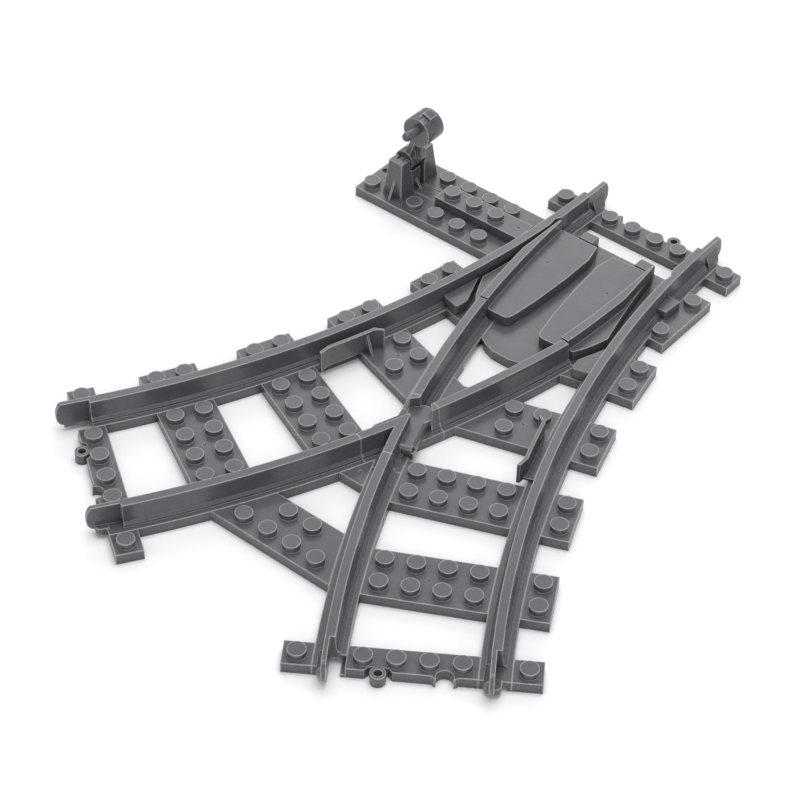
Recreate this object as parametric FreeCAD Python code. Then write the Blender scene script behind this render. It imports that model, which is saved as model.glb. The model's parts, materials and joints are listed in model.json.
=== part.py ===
import FreeCAD, Part
import math
import os

V = FreeCAD.Vector
UP = V(0, 0, 1)

# Sizes in millimetres. The building grid has an 8 mm pitch and 3.2 mm plates.
PITCH = 8.0
PLATE = 3.2
STUD_R = 2.4
STUD_H = 1.8
SKIN = 2.0            # underside of the top skin of every hollow sleeper
WALL = 1.2
TUBE_R = 3.25
TUBE_BORE = 2.4
PIN_R = 1.5

# Track plan: two branches of one radius leave the entry end and turn apart.
RADIUS = 320.0
TURN = 33.75
STEP = 5.625
GAUGE = 20.0
HALF_SLEEPER = 31.6
END_GAP = 0.5         # sleeper ends stand back from the joint between two tracks

# Rail section.
RAIL_TOP = 9.6
HEAD = 1.25
FLANGE_Z = 6.4        # running level of the wheel flanges
BAND = 4.0            # half width of the base under a rail
CHANNEL = 2.8
TABLE = [(-2.5, 3.2), (-2.5, 3.9), (-1.75, 4.4), (-1.25, 8.4), (-1.25, 9.6),
         (1.25, 9.6), (1.25, 8.4), (1.75, 4.4), (2.5, 3.9), (2.5, 3.2)]
BASE = [(4.0, 3.2), (4.0, 0), (2.8, 0), (2.8, 2.0), (-2.8, 2.0), (-2.8, 0),
        (-4.0, 0), (-4.0, 3.2)]

# Rail ends: half-width tongues that lap the neighbouring track. The front edge of a
# tongue is given as (distance past the joint, height).
TAB_OUT = 4.4
TAB_CUT = 4.7
TAB_FRONT = [(2.3, 2.2), (3.3, 2.6), (4.1, 3.6), (TAB_OUT, 4.8), (TAB_OUT, 6.4),
             (4.15, 7.6), (3.6, 8.9), (3.0, RAIL_TOP)]
RING_R = 2.0
RING_BORE = 1.1
NOTCH_R = 2.2
BRANCH_Y = (RADIUS + HALF_SLEEPER) * math.sin(math.radians(TURN))
FOOTPRINT_CENTRE = (TAB_OUT - BRANCH_Y + END_GAP * math.cos(math.radians(TURN))) / 2

# Switch plate and points.
PLATE_LEFT = -79.2
PLATE_BACK = -16.0
PLATE_FRONT = -40.0
ROW = -28.0           # line of the slider, the lever and the drive pins
HEEL = 10.45          # degrees round the branch where the blades end
CLOSURE_START = 10.56
FROG_START = 18.0
FROG_END = 22.0
PIVOT_X = 12.0
PIVOT_Y = -73.0
SWING = 5.0
THROW = 3.92
BLADE_LOW = 3.4
FLOOR_Z = 2.2
RUN_FIT = 0.06

# Lever.
SHAFT_X = -68.0
SHAFT_Z = 13.4
LEAN = 20.2
ARM = 13.0
DRUM_R = 4.7
HUB_R = 3.2
HUB_HALF = 3.3        # half length of the hub
STUB = 5.4            # half length of the shaft
KNOB_OUT = 1.7        # knob axis beyond the drum axis
CRANK = 5.56
FINGER_R = 2.6


# ---------------------------------------------------------------- helpers

def box(x0, x1, y0, y1, z0, z1):
    return Part.makeBox(x1 - x0, y1 - y0, z1 - z0, V(x0, y0, z0))


def post(x, y, z0, z1, r):
    return Part.makeCylinder(r, z1 - z0, V(x, y, z0))


def rod(x, y0, y1, z, r):
    return Part.makeCylinder(r, y1 - y0, V(x, y0, z), V(0, 1, 0))


def prism(points, z0, z1):
    corners = [V(x, y, z0) for x, y in points]
    face = Part.Face(Part.makePolygon(corners + [corners[0]]))
    return face.extrude(V(0, 0, z1 - z0))


def join(shapes):
    return shapes[0].fuse(shapes[1:]).removeSplitter()


def mirrored(shape):
    return shape.mirror(V(0, 0, 0), V(1, 0, 0))


def at(across, deg, along=0.0):
    """Plan position on the right branch; across grows towards its centre."""
    t = math.radians(deg)
    r = RADIUS - across
    x = RADIUS - r * math.cos(t) + along * math.sin(t)
    y = -r * math.sin(t) - along * math.cos(t)
    return x, y


def swept(section, centre, t0, t1):
    """A section of (across, z) points swept round the right branch."""
    corners = []
    for across, z in section:
        x, y = at(centre + across, t0)
        corners.append(V(x, y, z))
    face = Part.Face(Part.makePolygon(corners + [corners[0]]))
    return face.revolve(V(RADIUS, 0, 0), UP, t1 - t0)


def sector(a0, a1, t0, t1, z0, z1):
    return swept([(a0, z0), (a1, z0), (a1, z1), (a0, z1)], 0.0, t0, t1)


def radial(deg, a0, a1, l0, l1, z0, z1):
    corners = [at(a0, deg, l0), at(a1, deg, l0), at(a1, deg, l1), at(a0, deg, l1)]
    return prism(corners, z0, z1)


def half_plane(side, y0=-230.0, y1=20.0):
    if side > 0:
        return box(0, 130, y0, y1, -5, 40)
    return box(-130, 0, y0, y1, -5, 40)


def studs(points):
    return [post(x, y, PLATE - 0.4, PLATE + STUD_H, STUD_R) for x, y in points]


def gate_mark(x, y, z):
    """Cutter for the small sunk ring left by an injection gate."""
    return post(x, y, z - 0.25, z + 1, 0.5).cut(post(x, y, z - 1, z - 0.05, 0.18))


def tube(x, y):
    return post(x, y, 0, SKIN + 0.2, TUBE_R).cut(post(x, y, -1, SKIN, TUBE_BORE))


# ---------------------------------------------------------------- rail ends

def end_face(name):
    """Origin and turn of an end face: local x is right-hand, local y outwards."""
    if name == "entry":
        return 0.0, 0.0, 0.0
    x, y = at(0.0, TURN)
    if name == "right":
        return x, y, 180.0 + TURN
    return -x, y, 180.0 - TURN


def placed(shape, name):
    x, y, turn = end_face(name)
    shape = shape.copy()
    shape.rotate(V(0, 0, 0), UP, turn)
    shape.translate(V(x, y, 0))
    return shape


def lap_tongue(c):
    """Thin tongue on the right-hand half of the rail with a curved front edge."""
    outline = [(-TAB_CUT - 1, PLATE), (-END_GAP, PLATE), (-END_GAP, 2.2)] + TAB_FRONT
    outline.append((-TAB_CUT - 1, RAIL_TOP))
    side = [V(c, y, z) for y, z in outline]
    tongue = Part.Face(Part.makePolygon(side + [side[0]])).extrude(V(HEAD, 0, 0))
    return tongue.fuse(tongue_gusset(c + HEAD))


def tongue_gusset(x):
    """Tapered thickening low on the outer face of a tongue."""
    low = PLATE - 0.9
    root = [V(x - 0.1, -3.6, low), V(x - 0.1, 2.4, low), V(x - 0.1, 2.4, 7.0), V(x - 0.1, -3.6, 7.0)]
    edge = [V(x + 1.4, -3.6, low), V(x + 1.4, 1.2, low), V(x + 1.4, 1.2, PLATE + 0.3),
            V(x + 1.4, -3.6, PLATE + 0.3)]
    wires = [Part.makePolygon(root + [root[0]]), Part.makePolygon(edge + [edge[0]])]
    return Part.makeLoft(wires, True, True)


def finish_end(rail, name, side):
    """Trim a rail at an end face; side is +1 for the slotted right-hand rail."""
    c = side * GAUGE
    over = box(c - 6, c + 6, -TAB_CUT, 20, PLATE, 15)
    under = box(c - 6, c + 6, -END_GAP, 20, -1, PLATE + 0.01)
    rail = rail.cut(placed(over.fuse(under), name))
    rail = rail.fuse(placed(lap_tongue(c), name))
    if side > 0:
        slot = box(c - 4.1, c - 0.02, -TAB_CUT, 1, 0.9, PLATE + 0.01)
        well = box(c - 2.81, c + 2.2, -2.8, 1, -1, 2.2)
        foot = prism([(c + 0.01, -1), (c + 2.6, -1), (c + 2.6, 0.9), (c + 1.3, 2.3),
                      (c + 0.01, 2.5)], 1.3, PLATE)
        rail = rail.cut(placed(slot.fuse(well), name))
        return rail.fuse(placed(foot, name)).removeSplitter()
    foot = prism([(c - 1.7, -1), (c + 2.7, -1), (c + 2.7, 1.0), (c + 2.1, 1.9),
                  (c + 0.8, 2.4), (c - 0.7, 2.3), (c - 1.5, 1.7), (c - 1.7, 1.0)], 1.2, PLATE + 0.2)
    return rail.fuse(placed(foot, name)).removeSplitter()


def end_sleeper(name):
    """Half-depth sleeper with a coupling ring and a hooked notch."""
    face = -END_GAP
    rear = 0.1 - PITCH
    slab = box(-HALF_SLEEPER, HALF_SLEEPER, rear, face, 0, PLATE)
    shapes = [slab.cut(box(-HALF_SLEEPER + WALL, HALF_SLEEPER - WALL,
                           rear + WALL, face - WALL, -1, SKIN))]
    for x in (-28, -12, -4, 4, 12, 28):
        shapes += studs([(x, -4)])
    for x in (0, 8, -8):
        shapes.append(post(x, -4, 0, SKIN + 0.2, 1.6))
    for x in (-GAUGE - BAND, -GAUGE + BAND, GAUGE - BAND, GAUGE + BAND):
        shapes.append(box(x - WALL, x + WALL, rear + 0.4, face - 0.4, 0, SKIN + 0.2))
    sleeper = join(shapes)
    relief = prism([(4.6, 0.1), (4.6, face), (5.8, -1.8), (10.2, -1.8), (11.4, face), (11.4, 0.1)],
                   -1, PLATE + 1)
    sleeper = sleeper.cut(relief)
    sleeper = sleeper.fuse(box(5.5, 10.5, -3.1, -1.7, 0, PLATE))
    ring = post(8, 0, 0, PLATE, RING_R).fuse(box(7.1, 8.9, -2.2, 0, 0, PLATE))
    sleeper = sleeper.fuse(ring).cut(post(8, 0, -1, PLATE + 1, RING_BORE))
    horns = prism([(-11.3, face - 0.1), (-10.6, 0.2), (-5.4, 0.2), (-4.7, face - 0.1)], 0, PLATE)
    block = box(-11.2, -4.8, -3.7, face, 0, PLATE)
    sleeper = sleeper.fuse([horns, block]).cut(post(-8, -0.35, -1, PLATE + 1, NOTCH_R))
    return placed(sleeper.removeSplitter(), name)


# ---------------------------------------------------------------- rails

def stock_rail():
    """Right-hand running rail, entry to branch end, without its end details."""
    rail = swept(TABLE + BASE, GAUGE, 0.0, TURN)
    return rail


def tip_bulge():
    """Swelling of the left gauge face just ahead of the blade tip."""
    return prism([(-19.6, -19.3), (-19.36, -19.2), (-18.95, -16.6), (-19.08, -14.3),
                  (-19.6, -14.0)], 4.4, RAIL_TOP)


def tip_nest():
    """Shallow recess of the left gauge face that shelters the blade tip."""
    return prism([(-18.4, -19.2), (-19.36, -19.2), (-20.12, -20.5), (-19.66, -24.2),
                  (-18.4, -24.2)], PLATE, 12)


def blade_clearance():
    """Room beside the right stock rail for the foot of the closed blade."""
    return sector(15.0, 18.28, 3.35, 12.2, PLATE, 4.6)


def slider_portal():
    return box(-30, -14, ROW - 4.2, ROW + 4.2, -1, 6.75)


def left_stock():
    rail = mirrored(stock_rail().cut(blade_clearance()))
    pocket = prism([(-17.6, -14.0), (-17.6, -4.5), (-19.1, -4.5), (-18.8, -14.0)], 4.5, 7.5)
    rail = rail.cut([tip_nest(), slider_portal(), pocket]).fuse(tip_bulge())
    rail = finish_end(rail, "entry", -1)
    return finish_end(rail, "left", 1)


def right_stock():
    rail = stock_rail().cut([blade_clearance(), mirrored(tip_nest())]).fuse(mirrored(tip_bulge()))
    passage = mirrored(box(-30, -14, ROW - 2.6, ROW + 2.6, -1, 2.1))
    pocket = sector(GAUGE - 3, GAUGE - 1.1, 0.78, 4.2, 4.5, 7.5)
    step = sector(GAUGE - 3, GAUGE - 0.85, 0.78, 1.9, 5.2, 6.9)
    rail = rail.cut([passage, pocket, step])
    rail = finish_end(rail, "entry", 1)
    return finish_end(rail, "right", -1)


def right_curved_closure():
    """Left-hand rail of the right branch between the points and the frog."""
    rail = swept(TABLE + BASE, -GAUGE, CLOSURE_START, FROG_START)
    room = sector(-22.8, -15.0, 10.0, 13.9, -1, FLOOR_Z)
    wing_heel = sector(-18.3, -15.0, 10.0, 10.74, PLATE, 12)
    return rail.cut([room, wing_heel]).common(half_plane(-1))


def frog_leg(name, side):
    """Rail from the frog to a branch end."""
    rail = swept(TABLE + BASE, -GAUGE, FROG_END, TURN)
    if name == "left":
        rail = mirrored(rail)
    return finish_end(rail, name, side)


def frog_half():
    """Right branch half of the frog: base, flange floor, closure end and leg."""
    base = sector(-GAUGE - BAND, -GAUGE + BAND, FROG_START, FROG_END, 0, PLATE)
    profile = [(-19.0, PLATE), (-14.7, PLATE), (-14.7, FLANGE_Z - 0.9), (-14.95, FLANGE_Z - 0.3),
               (-15.6, FLANGE_Z), (-19.0, FLANGE_Z)]
    floor = swept(profile, 0.0, FROG_START, 20.7)
    throat = sector(-21.25, -18.7, FROG_START, 19.6, PLATE, FLANGE_Z)
    closure_end = swept(TABLE, -GAUGE, FROG_START, 18.5)
    mitre = prism([at(-17.4, 18.02), at(-22.6, 18.52), at(-22.6, 19.5), at(-17.4, 19.5)], 3, 12)
    closure_end = closure_end.cut(mitre)
    nose = sector(-21.25, -18.75, 18.9, 20.96, PLATE, RAIL_TOP)
    nose = nose.cut(box(-20, 20, -112.2, -90, 0, 12))
    nose = nose.cut(mirrored(sector(-18.75, 5, 17, 22.5, 0, 12)))
    leg = swept(TABLE, -GAUGE, 20.9, FROG_END)
    other_route = mirrored(sector(-GAUGE - BAND, -GAUGE + BAND, 15, FROG_START, -1, 12))
    pieces = [base, floor, rolled_end(), throat, closure_end, nose, leg]
    return [piece.cut(other_route) for piece in pieces]


def rolled_end():
    """Rounded run-out of the flange floor along the frog leg."""
    x, y = at(-15.3, 20.7)
    x1, y1 = at(-19.0, 20.7)
    roll = Part.makeCylinder(1.5, math.hypot(x1 - x, y1 - y), V(x, y, FLANGE_Z - 1.5),
                             V(x1 - x, y1 - y, 0))
    return roll.fuse(radial(20.7, -19.0, -14.7, -0.5, 1.5, PLATE, FLANGE_Z - 1.5))


def frog_block():
    right = frog_half()
    return join(right + [mirrored(piece) for piece in right])


def guard_rail():
    """Check rail beside the right stock rail with flared ends."""
    inner = [at(12.6, 17.14), at(14.2, 17.5), at(14.2, 20.25), at(13.1, 20.85)]
    outer = [at(14.0, 20.85), at(15.2, 20.25), at(15.2, 17.5), at(13.5, 17.14)]
    middle = [at(14.2, 18.0), at(14.2, 19.0), at(14.2, 19.6)]
    back = [at(15.2, 19.6), at(15.2, 19.0), at(15.2, 18.0)]
    path = inner[:2] + middle + inner[2:] + outer[:2] + back + outer[2:]
    plate = prism(path, PLATE, RAIL_TOP)
    shelf = sector(14.6, 17.5, 17.6, 20.55, PLATE, 3.95)
    return join([plate, shelf])


def guard_gusset():
    """Triangular rib on the track-centre side of the left check rail."""
    x0, y0 = at(14.3, 18.0)
    x1, y1 = at(11.4, 18.0)
    tx, ty = math.sin(math.radians(18.0)) * 0.35, -math.cos(math.radians(18.0)) * 0.35
    wedge = [V(x0 - tx, y0 - ty, PLATE), V(x1 - tx, y1 - ty, PLATE), V(x0 - tx, y0 - ty, 9.0)]
    return Part.Face(Part.makePolygon(wedge + [wedge[0]])).extrude(V(2 * tx, 2 * ty, 0))


# ---------------------------------------------------------------- sleepers

def radial_sleeper(deg, a0, a1, stud_list, tube_list):
    """Two-stud-deep hollow sleeper laid square to the right branch."""
    slab = radial(deg, a0, a1, -PITCH, PITCH, 0, PLATE)
    hollow = radial(deg, a0 + WALL, a1 - WALL, -PITCH + WALL, PITCH - WALL, -1, SKIN)
    shapes = [slab.cut(hollow)]
    shapes += studs([at(a, deg, l) for a, l in stud_list])
    shapes += [tube(*at(a, deg)) for a in tube_list]
    return join(shapes)


def outer_stub(deg):
    """Sleeper end outside the stock rail."""
    return radial_sleeper(deg, GAUGE + BAND - 0.4, HALF_SLEEPER, [(28, -4), (28, 4)], [])


def branch_sleeper(deg, bands):
    grid = [(a, l) for a in (-12, -4, 4, 12) for l in (-4, 4)]
    middle = radial_sleeper(deg, -16.4, 16.4, grid, (-8, 0, 8))
    if deg == 5 * STEP:
        middle = middle.cut(gate_mark(*at(0.0, deg), PLATE))
    return Part.makeCompound(middle.cut(bands).Solids + outer_stub(deg).cut(bands).Solids)


def crossing_plate(bands, frog):
    """Sleepers of both branches merged behind and under the frog."""
    present = [(12, -4), (4, -4), (4, 4)]
    half = radial_sleeper(3 * STEP, -30, 16.4, present, (8,))
    half = half.common(half_plane(1))
    bridge = prism([(-3, -92.4), (3, -92.4), (3, -98), (-3, -98)], 0, PLATE)
    plate = join([half, mirrored(half), bridge])
    web = prism([(-1.0, -119), (1.0, -119), (5.6, -136), (-5.6, -136)], 0, PLATE)
    x, y = at(8.0, 3 * STEP)
    marks = [gate_mark(x, y, PLATE), gate_mark(-x, y, PLATE), gate_mark(0, -132.1, PLATE)]
    whole = plate.fuse(web).cut(marks).cut(bands).cut(frog)
    keep = [s for s in whole.Solids if s.Volume > 12.0]
    return Part.makeCompound(keep)


def cross_plate(bands):
    """Grid-aligned plate that ties the two frog legs together."""
    slab = box(-26, 26, -168, -152, 0, PLATE)
    hollow = box(-9, 9, -168 + WALL, -152 - WALL, -1, SKIN)
    shapes = [slab.cut(hollow)]
    shapes += studs([(-12, -164), (-4, -164), (4, -164), (12, -164), (-4, -156), (4, -156)])
    shapes += [tube(0, -160)]
    plate = join(shapes)
    inner = sector(-60, -GAUGE, 20, 33, -1, 10)
    return plate.common(inner).common(mirrored(inner)).cut(bands).removeSplitter()


# ---------------------------------------------------------------- switch plate

def lever_plate(bands):
    """Three-stud-deep plate that carries the lever and guides the slider."""
    slab = box(PLATE_LEFT, -18, PLATE_FRONT, PLATE_BACK, 0, PLATE)
    hollow = box(PLATE_LEFT + WALL, -26.5, PLATE_FRONT + WALL, PLATE_BACK - WALL, -1, SKIN)
    shapes = [slab.cut(hollow)]
    back = [(x, -20) for x in (-36, -44, -52, -60, -76)]
    front = [(x, -36) for x in (-36, -44, -52, -60, -76)]
    shapes += studs(back + front)
    shapes += [tube(x, y) for x in (-72, -64, -56, -40, -32) for y in (-36, -20)]
    shapes += [post(-48, y, 1.0, SKIN + 0.2, 2.2) for y in (-35.2, -20.8)]
    shapes.append(box(-78.2, -75.6, ROW - 2.0, ROW + 2.0, 1.0, SKIN + 0.2))
    plate = join(shapes)
    slot = box(-75.6, -17, ROW - 2.4, ROW + 2.4, -1, PLATE + 1)
    hole = post(-77.3, ROW, 2.2, PLATE + 1, 1.2)
    recess = box(-76.2, -20, ROW - 3.6, ROW + 3.6, -1, 1.05)
    pilots = [post(-48, y, -1, 2.7, 0.8) for y in (-35.2, -20.8)]
    plate = plate.cut([slot, hole, recess] + pilots).cut(bands)
    return Part.makeCompound([s for s in plate.Solids if s.Volume > 40.0])


def right_plate_end(bands):
    """Matching end of the switch plate outside the right stock rail."""
    edge = HALF_SLEEPER
    slab = box(20, edge, PLATE_FRONT, PLATE_BACK, 0, PLATE)
    hollow = box(27.0, edge - WALL, PLATE_FRONT + WALL, PLATE_BACK - WALL, -1, SKIN)
    shapes = [slab.cut(hollow)] + studs([(28, -20), (28, -36)])
    shapes.append(post(28.2, ROW, 0, SKIN + 0.2, 1.6))
    end = join(shapes).cut(bands)
    return max(end.Solids, key=lambda s: s.Volume)


def plate_lug():
    """Block that props the web of the right stock rail between the studs."""
    lug = prism([(22.7, -30.8), (25.9, -30.6), (26.4, -24.3), (22.4, -23.9)], PLATE, 6.0)
    return lug.cut(swept(TABLE, GAUGE, 0, 12))


def tray_outline():
    side = [(16.2, PLATE_BACK), at(16.4, 6.0), at(16.4, 9.5), at(16.4, 12.68)]
    front = [at(8.0, 12.68), (8.6, -69.9), (6.0, -71.3), (3.0, -72.3)]
    right = side + front
    left = [(-x, y) for x, y in reversed(right)]
    return right + left


def inset(points, d):
    """Move each corner of a closed outline inwards by about d."""
    cx = sum(p[0] for p in points) / len(points)
    cy = sum(p[1] for p in points) / len(points)
    moved = []
    for x, y in points:
        moved.append((x - d * sign(x - cx), y - d * sign(y - cy)))
    return moved


def sign(value):
    return 1.0 if value > 0 else -1.0


def point_tray(bands):
    """Floor under the blades; slots let the drive pins and heel necks through."""
    outline = tray_outline()
    tray = prism(outline, 0, PLATE).cut(prism(inset(outline, 1.3), -1, FLOOR_Z))
    bosses = [post(0, y, 1.0, FLOOR_Z + 0.2, 2.2) for y in (-21.5, -50.0)]
    tray = join([tray] + bosses)
    pilots = [post(0, y, -1, 2.7, 0.8) for y in (-21.5, -50.0)]
    for side in (-1, 1):
        pilots.append(box_between(side * 6.2, side * 13.9, -30.3, -25.9, -1, 5))
        pilots.append(box_between(side * 5.2, side * 13.1, -59.2, -52.8, -1, 5))
        pilots.append(box_between(side * 7.4, side * 17.0, -75, -60, -1, FLOOR_Z))
    recess = prism(COVER, -1, 1.05)
    channel = box(-24, -12.8, ROW - 3.4, ROW + 3.4, -1, FLOOR_Z)
    tray = tray.cut(pilots + [recess, channel])
    tray = tray.cut(bands)
    return max(tray.Solids, key=lambda s: s.Volume)


def box_between(xa, xb, y0, y1, z0, z1):
    return box(min(xa, xb), max(xa, xb), y0, y1, z0, z1)


def tip_stops():
    blocks = [box_between(s * 7.4, s * 12.2, -19.55, PLATE_BACK, PLATE, FLANGE_Z) for s in (-1, 1)]
    return Part.makeCompound(blocks)


def wing_pad():
    """Raised pad between the right closure rail heel and the stock rail."""
    outline = [at(18.6, 12.55), at(12.9, 12.6), at(12.3, 12.45), at(12.6, 11.8), at(18.6, 9.98)]
    pad = prism(outline, PLATE, FLANGE_Z)
    return pad.cut(swept(TABLE, GAUGE, 9, 13.5))


# ---------------------------------------------------------------- moving parts

def closed_blade():
    """Right blade in its closed position, tip against the right stock rail."""
    rail = mirrored(swept([(-1.62, 5.4), (-1.25, 8.4), (-1.25, RAIL_TOP), (1.25, RAIL_TOP),
                           (1.25, 8.4), (1.62, 5.4)], -GAUGE, 3.42, HEEL))
    taper = prism([(19.24, -37.2), (18.72, -19.0), (30, -19.0), (30, -37.2)], 3, 12)
    return rail.cut(taper)


def closed_plate():
    """Flat wing of the right blade that carries the wheel flanges."""
    inner = [(18.6, -20.1), (5.3, -20.1), (3.8, -26.0), (3.75, -37.0), (4.4, -50.0), (5.3, -58.2),
             (5.6, -60.2), (6.0, -61.1), (6.7, -61.7), (7.9, -61.95), (12.6, -62.0), (12.6, -61.5)]
    outer = [(15.4, -61.6), (16.6, -61.85), (17.3, -61.6), (18.86, -59.4), (20.6, -55.9),
             (22.5, -51.2), (22.0, -46.4), (20.7, -38.3), (19.45, -30.2), (18.8, -24.0)]
    plate = prism(inner + outer, BLADE_LOW, FLANGE_Z)
    plate = plate.cut(sector(17.85, 40, -2, 20, 0, 12))
    plate = plate.cut(mirrored(sector(-24, -18.7, HEEL + 0.02, 14, 0, 12)))
    return plate.cut(gate_mark(12.15, -34.9, FLANGE_Z))


def closed_tongue():
    """Neck, under-floor tongue and drive pin of the right blade."""
    neck = box(7.4, 12.4, -58, -54, 1.1, BLADE_LOW + 0.2)
    arm = prism([(7.4, -54), (12.4, -54), (14.4, -73), (9.6, -73)], 1.1, 2.0)
    eye = post(PIVOT_X, PIVOT_Y, 1.1, 2.0, 2.6)
    pin = post(PIVOT_X, ROW, 1.2, BLADE_LOW + 0.2, 1.4)
    link = join([neck, arm, eye, pin])
    return link.cut(post(PIVOT_X, PIVOT_Y, 0, 3, PIN_R + RUN_FIT))


def opened(shape):
    shape = shape.copy()
    shape.rotate(V(PIVOT_X, PIVOT_Y, 0), UP, SWING)
    return shape


def pivot_pins():
    return Part.makeCompound([post(s * PIVOT_X, PIVOT_Y, 1.0, FLOOR_Z, PIN_R) for s in (-1, 1)])


def throw_slider():
    """Studded slider with the strip and the two drive cheeks at the lever."""
    raised = box(-55.7, -25.2, ROW - 3.8, ROW + 3.8, PLATE + 0.1, FLANGE_Z)
    strip = box(-74.2, -27.0, ROW - 2.15, ROW + 2.15, 1.1, 3.1)
    tie = box(-55.7, -29.5, ROW - 2.15, ROW + 2.15, 3.0, PLATE + 0.2)
    shapes = [raised, strip, tie]
    shapes += [post(x, ROW, FLANGE_Z - 0.4, FLANGE_Z + STUD_H, STUD_R) for x in (-52, -44, -36)]
    finger_x = SHAFT_X - CRANK * math.sin(math.radians(LEAN))
    right = finger_x + FINGER_R + 0.25
    left = finger_x - FINGER_R - 0.25
    shapes.append(box(right, right + 1.3, ROW - 1.75, ROW + 1.75, 3.0, 9.7))
    shapes.append(box(left - 1.3, left, ROW - 1.75, ROW + 1.75, 3.0, 9.7))
    brace = [V(right + 1.2, ROW - 0.4, 3.0), V(right + 3.4, ROW - 0.4, 3.0),
             V(right + 1.2, ROW - 0.4, 6.2)]
    shapes.append(Part.Face(Part.makePolygon(brace + [brace[0]])).extrude(V(0, 0.8, 0)))
    return join(shapes).cut(gate_mark(-28.0, -27.5, FLANGE_Z))


def throw_bar():
    """Flat bar under the floor that drives both blades."""
    bar = box(-27.0, 11.4, ROW - 2.1, ROW + 2.1, 1.1, 2.0)
    for x in (-PIVOT_X, PIVOT_X - THROW):
        bar = bar.cut(box(x - 1.7, x + 1.7, ROW - 1.95, ROW + 1.8, 0, 3))
    return bar


def leaned(shape):
    """Turn a lever part from upright to its rest lean."""
    shape = shape.copy()
    shape.rotate(V(SHAFT_X, ROW, SHAFT_Z), V(0, 1, 0), LEAN)
    return shape


def lever_arm():
    """Hub, cross-shaped arm and drive finger, drawn upright then leaned."""
    x, z = SHAFT_X, SHAFT_Z
    hub = rod(x, ROW - HUB_HALF, ROW + HUB_HALF, z, HUB_R)
    web = box(x - 0.9, x + 0.9, ROW - 3.0, ROW + 3.0, z, z + ARM - 3.5)
    rib_side = [V(x, ROW - 0.5, z), V(x + 3.3, ROW - 0.5, z), V(x + 1.8, ROW - 0.5, z + 9.5),
                V(x, ROW - 0.5, z + 9.5)]
    rib = Part.Face(Part.makePolygon(rib_side + [rib_side[0]])).extrude(V(0, 1.0, 0))
    root = [V(x - 2.6, ROW, z + 2.0), V(x + 2.6, ROW, z + 2.0), V(x + 0.9, ROW, z + 5.2),
            V(x - 0.9, ROW, z + 5.2)]
    fillet = Part.Face(Part.makePolygon(root + [root[0]])).extrude(V(0, 3.2, 0))
    fillet.translate(V(0, -1.6, 0))
    crank = box(x - 2.0, x + 2.0, ROW - 1.6, ROW + 1.6, z - CRANK, z)
    finger = rod(x, ROW - 1.6, ROW + 1.6, z - CRANK, FINGER_R)
    arm = join([hub, web, rib, fillet, crank, finger])
    arm = arm.cut(rod(x, ROW - 8, ROW + 8, z, PIN_R + RUN_FIT))
    arm = arm.cut(rod(x, ROW - 8, ROW + 8, z + ARM, DRUM_R))
    return leaned(arm)


def lever_drum():
    """Counterweight drum with a square lug on its crown."""
    x, z = SHAFT_X, SHAFT_Z + ARM
    drum = rod(x, ROW - 3.5, ROW + 3.5, z, DRUM_R)
    top = z + DRUM_R
    lug = box(x - 1.5, x + 1.5, ROW - 1.3, ROW + 1.7, top - 1.0, top + 1.2)
    dot = rod(x - 0.9, ROW - 3.62, ROW - 3.4, z - 2.9, 0.45)
    socket = rod(x, ROW - 9, ROW - 1.5, z + KNOB_OUT, 1.4)
    return leaned(join([drum, lug, dot]).cut(socket))


def lever_knob():
    """Round-ended handle pin set in the near face of the drum."""
    z = SHAFT_Z + ARM + KNOB_OUT
    pin = rod(SHAFT_X, ROW - 8.5, ROW - 1.5, z, 1.4)
    tip = Part.makeSphere(1.4, V(SHAFT_X, ROW - 8.5, z))
    return leaned(pin.fuse(tip))


def lever_bracket():
    """Front pedestal of the lever stand: a tapering post with a saddle open at the top."""
    x = SHAFT_X
    top = 14.8
    foot = [V(x - 3.4, ROW - 8.6, PLATE), V(x + 3.4, ROW - 8.6, PLATE),
            V(x + 3.4, ROW - 2.45, PLATE), V(x - 3.4, ROW - 2.45, PLATE)]
    head = [V(x - 2.45, ROW - 7.2, top), V(x + 2.45, ROW - 7.2, top),
            V(x + 2.45, ROW - 3.3, top), V(x - 2.45, ROW - 3.3, top)]
    wires = [Part.makePolygon(foot + [foot[0]]), Part.makePolygon(head + [head[0]])]
    stand = Part.makeLoft(wires, True, True)
    stand = stand.cut(rod(x, ROW - HUB_HALF - 0.3, ROW, SHAFT_Z, HUB_R + 0.35))
    stand = stand.cut(rod(x, ROW - STUB, ROW, SHAFT_Z, PIN_R))
    stand = stand.cut(box(x - 1.3, x + 1.3, ROW - STUB, ROW, SHAFT_Z, 20))
    rib = [V(x + 0.15, ROW - 10.9, PLATE), V(x + 0.15, ROW - 7.0, PLATE),
           V(x + 0.15, ROW - 7.0, 11.2)]
    blade = Part.Face(Part.makePolygon(rib + [rib[0]])).extrude(V(0.7, 0, 0))
    return stand.fuse(blade).removeSplitter()


def lever_shaft():
    return rod(SHAFT_X, ROW - STUB, ROW + STUB, SHAFT_Z, PIN_R)


COVER = [(-14.2, -18), (14.2, -18), (16.4, -50), (13.8, -75.6), (10.2, -75.6),
         (7.6, -67), (-7.6, -67), (-10.2, -75.6), (-13.8, -75.6), (-16.4, -50)]
SCREWS = [(0, -21.5), (0, -50.0), (-48, -35.2), (-48, -20.8)]


def mechanism_cover():
    """Thin cover under the slider, the throw bar and the blade tongues."""
    main = prism(COVER, 0.4, 1.0)
    reach = box(-76, -13, ROW - 3.4, ROW + 3.4, 0.4, 1.0)
    ears = box(-50.4, -45.6, -37.4, -18.6, 0.4, 1.0)
    cover = join([main, reach, ears])
    return cover.cut([post(x, y, 0, 2, 0.8) for x, y in SCREWS])


def cover_screws():
    shapes = []
    for x, y in SCREWS:
        head = post(x, y, 0.05, 0.4, 1.7).cut(box(x - 1.2, x + 1.2, y - 0.2, y + 0.2, 0, 0.25))
        shapes.append(head.fuse(post(x, y, 0.4, 2.6, 0.8)))
    return Part.makeCompound(shapes)


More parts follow.
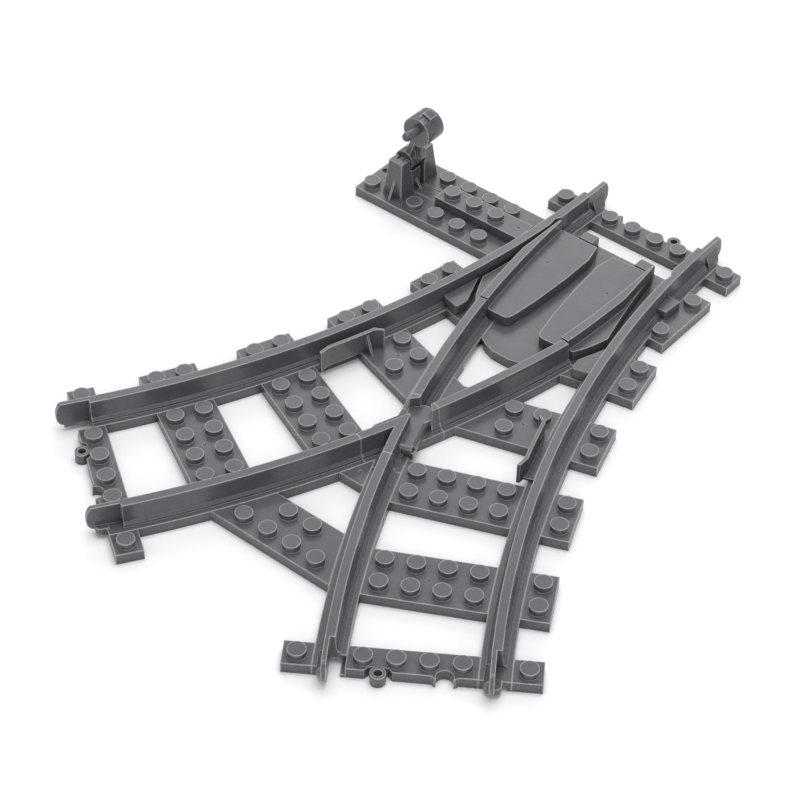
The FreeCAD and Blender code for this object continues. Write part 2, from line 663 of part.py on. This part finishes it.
# ---------------------------------------------------------------- assembly

def two(left, right):
    return Part.makeCompound([left, right])


def band_cutters():
    stock = sector(GAUGE - BAND, GAUGE + BAND, -2, TURN + 2, -1, 12)
    heel = sector(-GAUGE - BAND, -GAUGE + BAND, CLOSURE_START, TURN + 2, -1, 12)
    return stock.fuse([heel, mirrored(stock), mirrored(heel)])


def build():
    bands = band_cutters()
    parts = {}
    left_closure = right_curved_closure()
    right_closure = mirrored(left_closure)
    frog = frog_block()
    parts["left_stock_rail"] = left_stock()
    parts["right_stock_rail"] = right_stock()
    parts["left_closure_rail"] = left_closure
    parts["right_closure_rail"] = right_closure
    parts["frog"] = frog
    parts["left_frog_leg"] = frog_leg("left", -1)
    parts["right_frog_leg"] = frog_leg("right", 1)
    guard = guard_rail()
    ribbed = mirrored(join([guard, guard_gusset()]))
    parts["right_guard_rail"] = guard.cut(parts["right_stock_rail"])
    parts["left_guard_rail"] = ribbed.cut(parts["left_stock_rail"])
    parts["entry_sleeper"] = end_sleeper("entry").cut(bands)
    parts["right_end_sleeper"] = end_sleeper("right").cut(bands)
    parts["left_end_sleeper"] = end_sleeper("left").cut(bands)
    for number, deg in ((1, 4 * STEP), (2, 5 * STEP)):
        sleeper = branch_sleeper(deg, bands)
        parts["right_branch_sleeper_%d" % number] = sleeper
        parts["left_branch_sleeper_%d" % number] = mirrored(sleeper)
    stubs = two(outer_stub(2 * STEP).cut(bands), outer_stub(3 * STEP).cut(bands))
    parts["right_sleeper_ends"] = stubs
    parts["left_sleeper_ends"] = mirrored(stubs)
    parts["crossing_plate"] = crossing_plate(bands, frog)
    parts["cross_plate"] = cross_plate(bands)
    parts["lever_plate"] = lever_plate(bands)
    parts["right_plate_end"] = right_plate_end(bands)
    parts["rail_prop_lug"] = plate_lug()
    parts["point_tray"] = point_tray(bands)
    parts["blade_tip_stops"] = tip_stops()
    pad = wing_pad()
    parts["right_wing_pad"] = pad
    parts["left_wing_pad"] = mirrored(pad)
    parts["front_lever_bracket"] = lever_bracket()
    rear = lever_bracket()
    parts["rear_lever_bracket"] = rear.mirror(V(0, ROW, 0), V(0, 1, 0))
    parts["lever_shaft"] = lever_shaft()
    parts["blade_pivot_pins"] = pivot_pins()
    parts["mechanism_cover"] = mechanism_cover()
    parts["cover_screws"] = cover_screws()
    parts["lever_arm"] = lever_arm()
    parts["lever_drum"] = lever_drum()
    parts["lever_knob"] = lever_knob()
    parts["throw_slider"] = throw_slider()
    parts["throw_bar"] = throw_bar()
    blade = join([closed_blade(), closed_plate(), closed_tongue()])
    parts["right_blade"] = opened(blade)
    parts["left_blade"] = mirrored(blade)
    return parts


os.makedirs("parts", exist_ok=True)
for node, shape in build().items():
    shape = shape.copy()
    shape.translate(V(0, -FOOTPRINT_CENTRE, 0))
    shape.exportStep("parts/%s.step" % node)
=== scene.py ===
import json
import math

import bpy
from mathutils import Matrix, Vector

MM = 0.001

# Edges of the mouldings: the modelled rounding, the rounding of the shading only, and the width over
# which a painted highlight makes an edge paler.
EDGE = 0.18 * MM
EDGE_SEGMENTS = 2
EDGE_ANGLE = math.radians(32)
WELD_DISTANCE = 0.002 * MM
SOFT_EDGE = 0.26 * MM
PAINTED_HIGHLIGHT_WIDTH = 0.60 * MM

# How far around a point the plastic counts as closed in, for the painted shade in gaps.
CREVICE_REACH = 2.0 * MM

# Camera of the product view.
VIEW_AZIMUTH = math.radians(38.37)
VIEW_ELEVATION = math.radians(42.54)
VIEW_ROLL = math.radians(1.318)
VIEW_DISTANCE = 639.0 * MM
VIEW_TARGET = Vector((-11.79, -6.249, 0.0)) * MM
LENS = 106.27
SENSOR = 36.0

# Colours, as linear RGBA.
GREY_DARK = (0.096, 0.091, 0.104, 1.0)
GREY_LIGHT = (0.110, 0.105, 0.119, 1.0)
# Painted highlight colour, mixed into the plastic along open rounded edges.
PAINTED_EDGE_HIGHLIGHT = (0.520, 0.505, 0.535, 1.0)
# Painted shade colour, mixed into the plastic in gaps and at the foot of the studs.
PAINTED_CREVICE_SHADE = (0.040, 0.038, 0.044, 1.0)
COVER_DARK = (0.080, 0.075, 0.086, 1.0)
COVER_LIGHT = (0.096, 0.090, 0.102, 1.0)
RUBBED = (0.24, 0.235, 0.245, 1.0)
STEEL_DARK = (0.42, 0.42, 0.44, 1.0)
STEEL_LIGHT = (0.58, 0.58, 0.60, 1.0)
PAPER_DARK = (0.93, 0.93, 0.93, 1.0)
PAPER_LIGHT = (0.96, 0.96, 0.96, 1.0)
SKY_WHITE = (1.0, 1.0, 1.0, 1.0)

# Gloss, as surface roughness.
GREY_ROUGHNESS = 0.27
COVER_ROUGHNESS = 0.42
PAPER_ROUGHNESS = 0.8
PLASTIC_IOR = 1.53

# Studio, metres and watts.
SKY_STRENGTH = 0.42
FLOOR_SIZE = 6.0
FLOOR_DROP = 0.02 * MM

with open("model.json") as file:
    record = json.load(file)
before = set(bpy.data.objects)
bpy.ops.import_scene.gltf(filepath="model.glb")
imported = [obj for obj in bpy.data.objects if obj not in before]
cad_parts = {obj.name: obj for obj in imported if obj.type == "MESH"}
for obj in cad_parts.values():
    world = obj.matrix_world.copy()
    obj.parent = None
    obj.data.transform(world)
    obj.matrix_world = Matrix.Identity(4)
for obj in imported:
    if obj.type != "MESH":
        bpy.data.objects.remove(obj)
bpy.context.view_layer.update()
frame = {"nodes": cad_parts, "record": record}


# ------------------------------------------------------------------ materials

def node(tree, kind, **settings):
    made = tree.nodes.new(kind)
    for name, value in settings.items():
        made.inputs[name].default_value = value
    return made


def noise(tree, coords, scale, detail=3.0, roughness=0.55):
    made = node(tree, "ShaderNodeTexNoise", Scale=scale, Detail=detail, Roughness=roughness)
    tree.links.new(coords, made.inputs["Vector"])
    return made.outputs["Fac"]


def ramp(tree, source, low, high, a, b):
    """Maps source from low..high to a..b, clamped."""
    made = node(tree, "ShaderNodeMapRange")
    for socket, value in (("From Min", low), ("From Max", high), ("To Min", a), ("To Max", b)):
        made.inputs[socket].default_value = value
    tree.links.new(source, made.inputs["Value"])
    return made.outputs["Result"]


def mixed(tree, factor, dark, light):
    """Colour from dark to light by factor; each is a fixed colour or a socket."""
    made = tree.nodes.new("ShaderNodeMix")
    made.data_type = "RGBA"
    tree.links.new(factor, made.inputs["Factor"])
    for name, value in (("A", dark), ("B", light)):
        socket = next(i for i in made.inputs if i.name == name and i.type == "RGBA")
        if isinstance(value, tuple):
            socket.default_value = value
        else:
            tree.links.new(value, socket)
    return next(o for o in made.outputs if o.type == "RGBA")


def bump(tree, height, distance, strength, after=None):
    made = node(tree, "ShaderNodeBump", Strength=strength, Distance=distance)
    tree.links.new(height, made.inputs["Height"])
    if after:
        tree.links.new(after, made.inputs["Normal"])
    return made.outputs["Normal"]


def stretched(tree, coords, scale, turn):
    """Coordinates squeezed one way, for fine rubbed scratches."""
    made = tree.nodes.new("ShaderNodeMapping")
    made.inputs["Scale"].default_value = scale
    made.inputs["Rotation"].default_value = (0.0, 0.0, turn)
    tree.links.new(coords, made.inputs["Vector"])
    return made.outputs["Vector"]


def sky_openness(tree):
    """One on open surfaces, lower in gaps and at the foot of the studs."""
    made = node(tree, "ShaderNodeAmbientOcclusion", Distance=CREVICE_REACH)
    made.samples = 4
    return made.outputs["AO"]


def soft_normal(tree):
    """Surface normal with the edges rounded, for shading only."""
    made = node(tree, "ShaderNodeBevel", Radius=SOFT_EDGE)
    made.samples = 6
    return made.outputs["Normal"]


def painted_highlight_mask(tree, openness):
    """High on open rounded edges, where a painted highlight makes the colour paler, zero on the
    flats.
    """
    wide = node(tree, "ShaderNodeBevel", Radius=PAINTED_HIGHLIGHT_WIDTH)
    wide.samples = 8
    dot = tree.nodes.new("ShaderNodeVectorMath")
    dot.operation = "DOT_PRODUCT"
    tree.links.new(wide.outputs["Normal"], dot.inputs[0])
    tree.links.new(tree.nodes.new("ShaderNodeNewGeometry").outputs["Normal"], dot.inputs[1])
    edge = ramp(tree, dot.outputs["Value"], 0.82, 0.992, 1.0, 0.0)
    product = tree.nodes.new("ShaderNodeMath")
    product.operation = "MULTIPLY"
    tree.links.new(edge, product.inputs[0])
    tree.links.new(ramp(tree, openness, 0.45, 0.80, 0.0, 1.0), product.inputs[1])
    return product.outputs["Value"]


def new_material(name):
    """A material with its tree, shader and object coordinates."""
    made = bpy.data.materials.new(name)
    made.use_nodes = True
    tree = made.node_tree
    coords = tree.nodes.new("ShaderNodeTexCoord").outputs["Object"]
    return made, tree, tree.nodes["Principled BSDF"], coords


def plastic_colour(tree, coords, dark, light):
    """Faint flow marks and rub marks, with painted shade in gaps and a painted highlight on open
    edges.
    """
    flow = noise(tree, coords, 45.0, 2.0)
    rubs = noise(tree, stretched(tree, coords, (5200.0, 150.0, 900.0), 0.7), 1.0, 2.0)
    openness = sky_openness(tree)
    colour = mixed(tree, ramp(tree, flow, 0.3, 0.7, 0.0, 1.0), dark, light)
    colour = mixed(tree, ramp(tree, rubs, 0.74, 0.82, 0.0, 0.03), colour, RUBBED)
    # Painted shade: darker where the plastic is closed in.
    colour = mixed(tree, ramp(tree, openness, 0.35, 0.95, 0.75, 0.0), colour, PAINTED_CREVICE_SHADE)
    # Painted highlight: the colour turns paler along open rounded edges.
    return mixed(tree, painted_highlight_mask(tree, openness), colour, PAINTED_EDGE_HIGHLIGHT)


def plastic_normal(tree, coords):
    """Soft edges with orange peel and fine scratches."""
    peel = noise(tree, coords, 1500.0, 2.0)
    scratches = noise(tree, stretched(tree, coords, (240.0, 3400.0, 900.0), 0.35), 1.0, 2.0)
    normal = bump(tree, peel, 0.02 * MM, 0.25, soft_normal(tree))
    return bump(tree, scratches, 0.006 * MM, 0.25, normal)


def moulded(name, dark, light, roughness):
    """Injection-moulded plastic."""
    made, tree, shader, coords = new_material(name)
    cloud = noise(tree, coords, 260.0, 4.0)
    uneven = ramp(tree, cloud, 0.3, 0.7, roughness - 0.03, roughness + 0.04)
    tree.links.new(plastic_colour(tree, coords, dark, light), shader.inputs["Base Color"])
    tree.links.new(uneven, shader.inputs["Roughness"])
    tree.links.new(plastic_normal(tree, coords), shader.inputs["Normal"])
    shader.inputs["IOR"].default_value = PLASTIC_IOR
    return made


def steel(name):
    """Turned metal with a fine grain."""
    made, tree, shader, coords = new_material(name)
    grain = noise(tree, stretched(tree, coords, (400.0, 6000.0, 400.0), 0.0), 1.0, 2.0)
    tree.links.new(mixed(tree, grain, STEEL_DARK, STEEL_LIGHT), shader.inputs["Base Color"])
    tree.links.new(ramp(tree, grain, 0.3, 0.7, 0.28, 0.42), shader.inputs["Roughness"])
    tree.links.new(bump(tree, grain, 0.01 * MM, 0.3), shader.inputs["Normal"])
    shader.inputs["Metallic"].default_value = 1.0
    return made


FINISH = {
    "grey_abs": moulded("moulded_grey", GREY_DARK, GREY_LIGHT, GREY_ROUGHNESS),
    "cover_abs": moulded("moulded_cover", COVER_DARK, COVER_LIGHT, COVER_ROUGHNESS),
    "screw_steel": steel("turned_steel"),
}


def paint(piece, slot):
    for place in piece.material_slots:
        place.material = FINISH[slot]


slots = {part["node"]: part["material_slot"] for part in frame["record"]["subparts"]}
for name, piece in frame["nodes"].items():
    paint(piece, slots[name])


# ------------------------------------------------------------------ edges

def round_edges(piece):
    """Welds the surface and rounds its sharp edges like a real mould does."""
    weld = piece.modifiers.new("weld", "WELD")
    weld.merge_threshold = WELD_DISTANCE
    edge = piece.modifiers.new("edge", "BEVEL")
    edge.width = EDGE
    edge.segments = EDGE_SEGMENTS
    edge.limit_method = "ANGLE"
    edge.angle_limit = EDGE_ANGLE
    edge.use_clamp_overlap = True
    edge.harden_normals = True
    edge.miter_outer = "MITER_ARC"


for piece in frame["nodes"].values():
    round_edges(piece)


# ------------------------------------------------------------------ stage

def area_light(name, place, width, height, power):
    """A white rectangular lamp turned to the middle of the part."""
    data = bpy.data.lights.new(name, "AREA")
    data.shape = "RECTANGLE"
    data.size = width
    data.size_y = height
    data.energy = power
    lamp = bpy.data.objects.new(name, data)
    bpy.context.scene.collection.objects.link(lamp)
    lamp.location = place
    lamp.rotation_euler = (-Vector(place)).to_track_quat("-Z", "Y").to_euler()


def studio():
    area_light("top", (0.05, 0.10, 1.3), 1.0, 1.0, 11.0)
    area_light("back", (-0.75, 0.95, 0.85), 1.1, 0.6, 4.2)
    area_light("fill", (0.75, -0.95, 0.75), 0.5, 0.5, 3.6)
    world = bpy.data.worlds.new("studio")
    bpy.context.scene.world = world
    world.use_nodes = True
    sky = world.node_tree.nodes["Background"]
    sky.inputs["Color"].default_value = SKY_WHITE
    sky.inputs["Strength"].default_value = SKY_STRENGTH


def floor():
    bpy.ops.mesh.primitive_plane_add(size=FLOOR_SIZE, location=(0, 0, -FLOOR_DROP))
    plane = bpy.context.object
    plane.name = "floor"
    made, tree, shader, coords = new_material("floor_paper")
    grain = noise(tree, coords, 30.0)
    tree.links.new(mixed(tree, grain, PAPER_DARK, PAPER_LIGHT), shader.inputs["Base Color"])
    shader.inputs["Roughness"].default_value = PAPER_ROUGHNESS
    plane.data.materials.append(made)


def camera():
    data = bpy.data.cameras.new("product_view")
    data.lens = LENS
    data.sensor_width = SENSOR
    back = Vector((math.sin(VIEW_AZIMUTH) * math.cos(VIEW_ELEVATION),
                   -math.cos(VIEW_AZIMUTH) * math.cos(VIEW_ELEVATION),
                   math.sin(VIEW_ELEVATION)))
    right = Vector((math.cos(VIEW_AZIMUTH), math.sin(VIEW_AZIMUTH), 0.0))
    up = back.cross(right)
    tilted_right = right * math.cos(VIEW_ROLL) + up * math.sin(VIEW_ROLL)
    tilted_up = up * math.cos(VIEW_ROLL) - right * math.sin(VIEW_ROLL)
    place = VIEW_TARGET + back * VIEW_DISTANCE
    lens = bpy.data.objects.new("product_view", data)
    bpy.context.scene.collection.objects.link(lens)
    rows = Matrix((tilted_right, tilted_up, back)).transposed()
    lens.matrix_world = Matrix.Translation(place) @ rows.to_4x4()
    bpy.context.scene.camera = lens


studio()
floor()
camera()
bpy.context.scene.view_settings.view_transform = "Standard"
